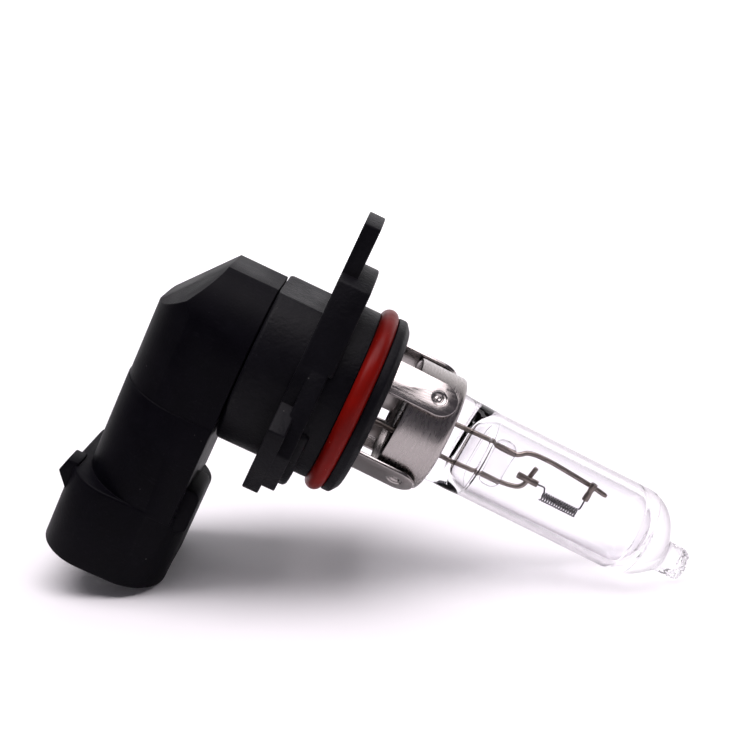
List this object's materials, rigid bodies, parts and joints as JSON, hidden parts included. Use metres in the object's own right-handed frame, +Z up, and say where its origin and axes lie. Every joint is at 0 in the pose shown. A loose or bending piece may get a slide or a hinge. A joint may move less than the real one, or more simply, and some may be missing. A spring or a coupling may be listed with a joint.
{
  "type": "right-angle halogen headlight bulb",
  "caption": "Headlight bulb with a glass capsule, steel sleeve, red sealing ring, lugged black base and right-angle connector.",
  "frame": {"origin": "bottom centre of the bounding box, with the bulb lying on its connector rim and glass tip", "axes": "+X towards the glass tip seen from above, +Y away from the viewer across the bulb, +Z up; the bulb's own axis falls 25.2 degrees towards +X"},
  "size_m": [0.0712, 0.0276, 0.0405],
  "materials": {
    "black_plastic": "black moulded plastic, fine grain",
    "seal_grey": "dark grey compound",
    "red_rubber": "brick-red silicone",
    "steel": "plain stamped steel",
    "tinned_metal": "tinned",
    "lead_metal": "dull drawn wire",
    "tungsten": "dark wound wire",
    "capsule_glass": "clear",
    "bridge_glass": "clear, slightly cloudy"
  },
  "bodies": {
    "root": {"flange_base": "black_plastic", "o_ring": "red_rubber", "connector_elbow": "black_plastic", "terminal_near": "tinned_metal", "terminal_far": "tinned_metal", "terminal_carrier": "seal_grey", "sealing_compound": "seal_grey", "link_strip_upper": "tinned_metal", "link_strip_lower": "tinned_metal", "tongue_far_upper": "steel", "tongue_far_lower": "steel", "tongue_near_lower": "steel", "tongue_near_upper": "steel", "capsule_sleeve": "steel", "pinch_clip": "steel", "glass_envelope": "capsule_glass", "lead_long": "lead_metal", "lead_short": "lead_metal", "glass_bridge": "bridge_glass", "filament": "tungsten", "tail_tube_short_lead": "lead_metal", "tail_tube_long_lead": "lead_metal"}
  },
  "joints": []
}
